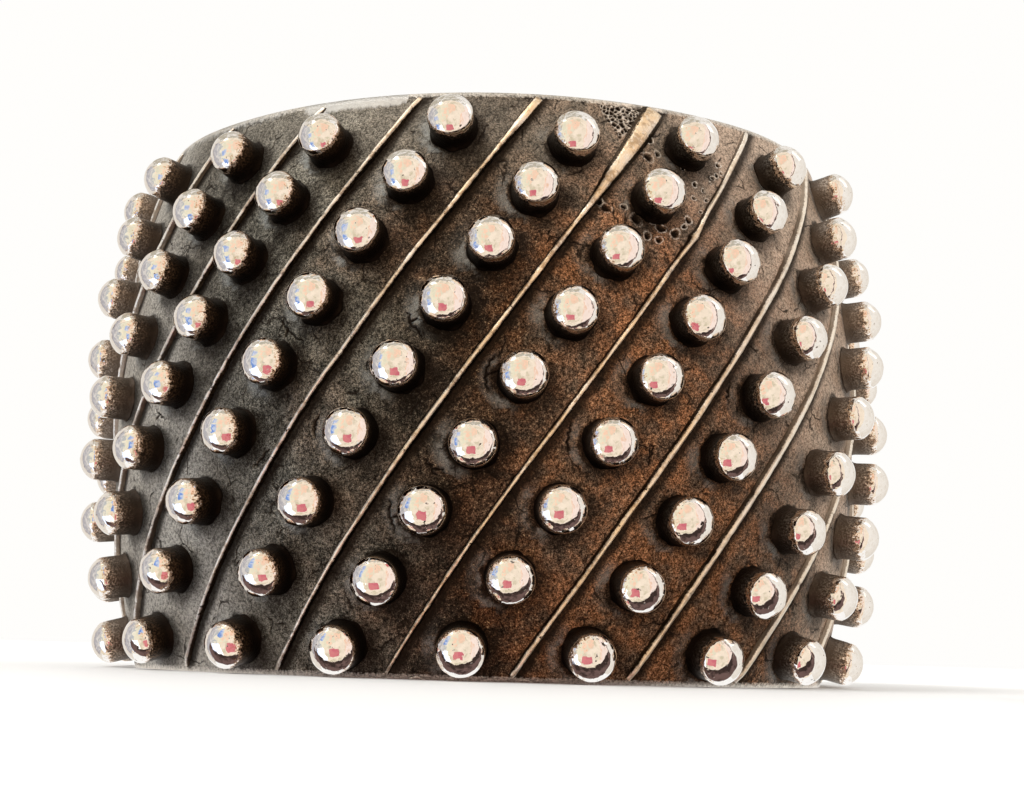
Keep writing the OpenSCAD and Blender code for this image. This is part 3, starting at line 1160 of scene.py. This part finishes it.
def card(name, centre, width, height, colour, other, size, target=AIM, strength=1.0):
    """A flat card that faces a target, with its first colour at its left as the target sees it."""
    centre = np.array(centre, float)
    ahead = np.array(target) - centre
    ahead /= np.linalg.norm(ahead)
    across = np.cross(ahead, [0.0, 0.0, 1.0])
    across /= np.linalg.norm(across)
    upward = np.cross(across, ahead)
    corners = ((-0.5, -0.5), (0.5, -0.5), (0.5, 0.5), (-0.5, 0.5))
    points = [centre + a * across * width + b * upward * height for a, b in corners]
    stage_card(name, points, [(0, 1, 2, 3)], [0, 1, 1, 0], (colour, other), size, strength)


def bent_strip(name, radius, turns, ahead, depth, colour, other, size):
    """A strip bent round the cuff like a piece of a hoop, wide in its middle and pointed at its ends."""
    points = []
    for i, turn in enumerate(np.radians(np.linspace(*turns, strip_steps + 1))):
        half = depth / 2 * sin(pi * i / strip_steps) ** 0.8
        x = radius * cos(turn)
        z = AIM[2] + radius * sin(turn)
        points.extend([[x, ahead - half, z], [x, ahead + half, z]])
    faces = [(2 * i, 2 * i + 1, 2 * i + 3, 2 * i + 2) for i in range(strip_steps)]
    stage_card(name, points, faces, [0, 1] * (strip_steps + 1), (colour, other), size, 1.0)


# %% Walls and panels
DARK = (0.09, 0.055, 0.05)
PEACH = (0.98, 0.84, 0.68)
CREAM = (0.92, 0.86, 0.70)
card("front_wall", (-450, -160, 60), 2100, 2600, (0.78, 0.68, 0.49), PEACH, 90, (-450, 0, 60))
card("grey_panel", (-230, -152, 60), 210, 300, (0.54, 0.56, 0.58), CREAM, 50, (-230, 0, 60))
card("cream_panel", (-35, -150, 60), 190, 280, (0.92, 0.86, 0.66), (1, 0.68, 0.50), 30)
card("pink_panel", (96, -87, 22), 166, 150, (1, 0.66, 0.47), (1, 0.83, 0.74), 26, (20, -152, 22))
card("panel_edge", (42, -24, 22), 2.2, 90, DARK, (0.5, 0.35, 0.3), 5, (0, -26, 22))
ivory = (0.96, 0.91, 0.84), (0.82, 0.76, 0.68)
card("pale_wall_right", (300, 95, 20), 710, 700, *ivory, 70, (0, 95, 20))
sand = (0.94, 0.88, 0.80), (0.84, 0.77, 0.69)
card("pale_wall_left", (-330, 190, 20), 440, 700, *sand, 90, (0, 190, 20), 0.95)
smoke = (0.99, 0.95, 0.90), (0.50, 0.45, 0.36)
card("ceiling", (0, 150, 560), 1500, 1000, *smoke, 100, (0, 149, 0))
lilac = (0.55, 0.53, 0.56), (0.82, 0.78, 0.74)
card("grey_wall", (-300, -79, 20), 252, 500, *lilac, 60, (0, -79, 20), 0.9)
card("wall_edge", (-300, 52, 20), 10, 500, DARK, (0.4, 0.3, 0.28), 20, (0, 52, 20))
below = (-155, -8)
bent_strip("dark_strip", 45, below, -24, 26, (0.05, 0.032, 0.028), (0.16, 0.10, 0.09), 12)

# %% Windows and small tinted cards
WHITE = (1, 1, 1)
rose = (0.80, 0.26, 0.27), (0.70, 0.18, 0.22)
blue = (0.22, 0.38, 0.84), (0.62, 0.70, 0.88)
pale_blue = (0.42, 0.55, 0.90), (0.70, 0.74, 0.88)
daylight = (1.0, 0.97, 0.93), (0.76, 0.70, 0.63)
card("left_window", (-57, -50, -26), 46, 50, (0.72, 0.80, 1), WHITE, 14, AIM, 1.5)
card("rose_card", (-1, -73, -19), 40, 34, *rose, 16, (0, -26, 20), 0.95)
card("blue_card", (-31, -40, 19), 11, 14, *blue, 5, AIM, 0.95)
card("small_blue_card", (-38, -46, 40), 12, 12, *pale_blue, 5, AIM, 0.95)
card("top_window", (-150, -90, 260), 70, 50, WHITE, (0.94, 0.84, 0.63), 22, AIM, 1.8)
card("side_window", (170, 10, 190), 70, 110, *daylight, 30, AIM, 1.5)

# %% The white room and its sun
world = bpy.data.worlds.new("white_room")
bpy.context.scene.world = world
world.use_nodes = True
background = world.node_tree.nodes["Background"]
background.inputs["Color"].default_value = (1.0, 0.99, 0.97, 1.0)
background.inputs["Strength"].default_value = 1.0

sun_data = bpy.data.lights.new("soft_sun", "SUN")
sun_data.energy = 1.0
sun_data.angle = radians(25)
sun = add("soft_sun", sun_data)
sun.rotation_euler = Vector((0.5, 0.35, -1.0)).to_track_quat("-Z", "Y").to_euler()

# %% [markdown]
# The photo was taken from close by with the camera a little below the cuff's lower edge. A cuff that
# lies on a floor can't be seen from there, so the camera sits just above the floor, as low as it goes,
# and keeps the direction, the framing and the strong perspective.

# %% The camera
eye = Vector((15.67, -122.14 + origin_y, 2.0))
ahead = Vector((-0.105, 0.9771, 0.185))
roll = radians(1.646)
camera_data = bpy.data.cameras.new("camera")
camera_data.sensor_width = 36.0
camera_data.lens = 47.45
camera_data.clip_start = 0.001
camera_data.clip_end = 20.0
camera = add("camera", camera_data)
camera.location = eye * MM
camera.rotation_euler = ahead.to_track_quat("-Z", "Y").to_euler()
camera.rotation_euler.rotate_axis("Z", roll)
bpy.context.scene.camera = camera
bpy.context.scene.view_settings.view_transform = "Standard"
print("camera at, mm:", [round(c / MM, 1) for c in camera.location])
